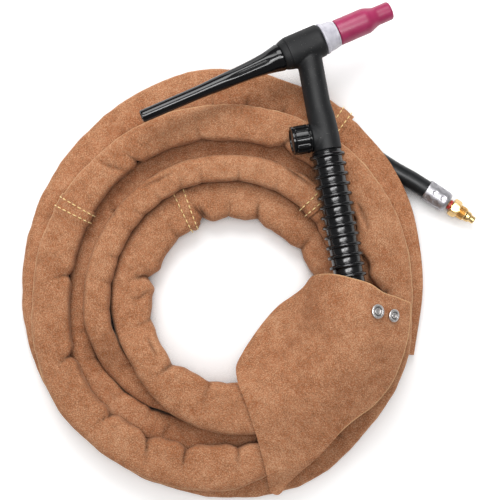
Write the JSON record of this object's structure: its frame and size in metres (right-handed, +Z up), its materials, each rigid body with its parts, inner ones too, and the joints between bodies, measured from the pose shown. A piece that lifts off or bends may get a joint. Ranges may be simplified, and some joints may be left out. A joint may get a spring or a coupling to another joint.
{
  "type": "tig torch",
  "caption": "Air-cooled TIG welding torch with a gas valve in its neck, ribbed handle and a coiled power cable inside a sewn suede sleeve with a snap flap.",
  "frame": {"origin": "on the ground, under the middle of the object's box", "axes": "+Z up out of the ground the coil lies on; +Y toward the torch head, +X toward the side the nozzle and the cable fitting point to"},
  "size_m": [0.37, 0.398, 0.0774],
  "materials": {
    "suede": "soft tan suede with a fine nap",
    "head_rubber": "matte moulded rubber",
    "gloss_black": "glossy moulded phenolic",
    "hose_rubber": "satin extruded rubber",
    "brass": "machined",
    "copper": null,
    "aluminium": "crimped, satin",
    "nickel": "nickel-plated, polished",
    "tungsten": "ground",
    "alumina": "unglazed pink ceramic",
    "ptfe": "translucent white",
    "seal_red": "red seal rubber"
  },
  "bodies": {
    "root": {"head_body": "head_rubber", "torch_core": "copper", "collet_body": "brass", "collet": "copper", "valve_body": "brass", "valve_o_ring": "hose_rubber", "valve_packing_nut": "brass", "handle_grip": "gloss_black", "cable_stud": "brass", "cable_nut": "brass", "cable_ferrule": "aluminium", "cable_hose": "hose_rubber", "copper_conductor": "copper", "crimp_ferrule": "aluminium", "hose_barb": "brass", "seal_ring": "seal_red", "sleeve_section_1": "suede", "sleeve_section_2": "suede", "sleeve_section_3": "suede", "sleeve_section_4": "suede", "sleeve_tail": "suede", "flap_tab": "suede", "snap_stud_1": "nickel", "snap_stud_2": "nickel"},
    "electrode": {"tungsten_electrode": "tungsten"},
    "cup_gasket_ring": {"cup_gasket": "ptfe"},
    "nozzle": {"gas_nozzle": "alumina"},
    "cap_seal": {"back_cap_o_ring": "hose_rubber"},
    "cap": {"back_cap": "gloss_black"},
    "stem": {"valve_stem": "brass"},
    "knob": {"valve_knob": "gloss_black", "knob_insert": "brass", "knob_disc": "gloss_black"},
    "nut": {"swivel_nut": "brass"},
    "flap": {"sleeve_flap": "suede", "snap_cap_1": "nickel", "snap_cap_2": "nickel", "snap_socket_1": "nickel", "snap_socket_2": "nickel"}
  },
  "joints": [
    {"name": "electrode_slide", "type": "slide", "parent": "root", "child": "electrode", "axis": [0.9069, 0.4036, -0.1211], "range_m": [-0.01, 0.015]},
    {"name": "gasket_travel", "type": "slide", "parent": "root", "child": "cup_gasket_ring", "axis": [0.9069, 0.4036, -0.1211], "range_m": [0, 0.00451]},
    {"name": "nozzle_turn", "type": "hinge", "parent": "cup_gasket_ring", "child": "nozzle", "pos_m": [0.0455, 0.1629, 0.047], "axis": [0.9069, 0.4036, -0.1211], "range_deg": [0, 1080]},
    {"name": "cap_travel", "type": "slide", "parent": "root", "child": "cap_seal", "axis": [-0.9069, -0.4036, 0.1211], "range_m": [0, 0.00451]},
    {"name": "back_cap_turn", "type": "hinge", "parent": "cap_seal", "child": "cap", "pos_m": [0.0455, 0.1629, 0.047], "axis": [-0.9069, -0.4036, 0.1211], "range_deg": [0, 1080]},
    {"name": "stem_travel", "type": "slide", "parent": "root", "child": "stem", "axis": [-0.9794, -0.1694, 0.1095], "range_m": [0, 0.00151]},
    {"name": "knob_turn", "type": "hinge", "parent": "stem", "child": "knob", "pos_m": [0.0584, 0.0912, 0.0515], "axis": [-0.9794, -0.1694, 0.1095], "range_deg": [0, 540]},
    {"name": "nut_swivel", "type": "hinge", "parent": "root", "child": "nut", "pos_m": [0.1445, 0.051, 0.0089], "axis": [0.8339, -0.5519, 0], "continuous": true},
    {"name": "flap_fold", "type": "hinge", "parent": "root", "child": "flap", "pos_m": [0.05102, -0.02233, 0.0624], "axis": [-0.6437, -0.7371, -0.2056], "range_deg": [0, 75]}
  ],
  "couplings": [
    {"joint": "gasket_travel", "follows": "nozzle_turn", "m_per_rad": 0.00023873},
    {"joint": "cap_travel", "follows": "back_cap_turn", "m_per_rad": 0.00023873},
    {"joint": "stem_travel", "follows": "knob_turn", "m_per_rad": 0.00015915}
  ]
}
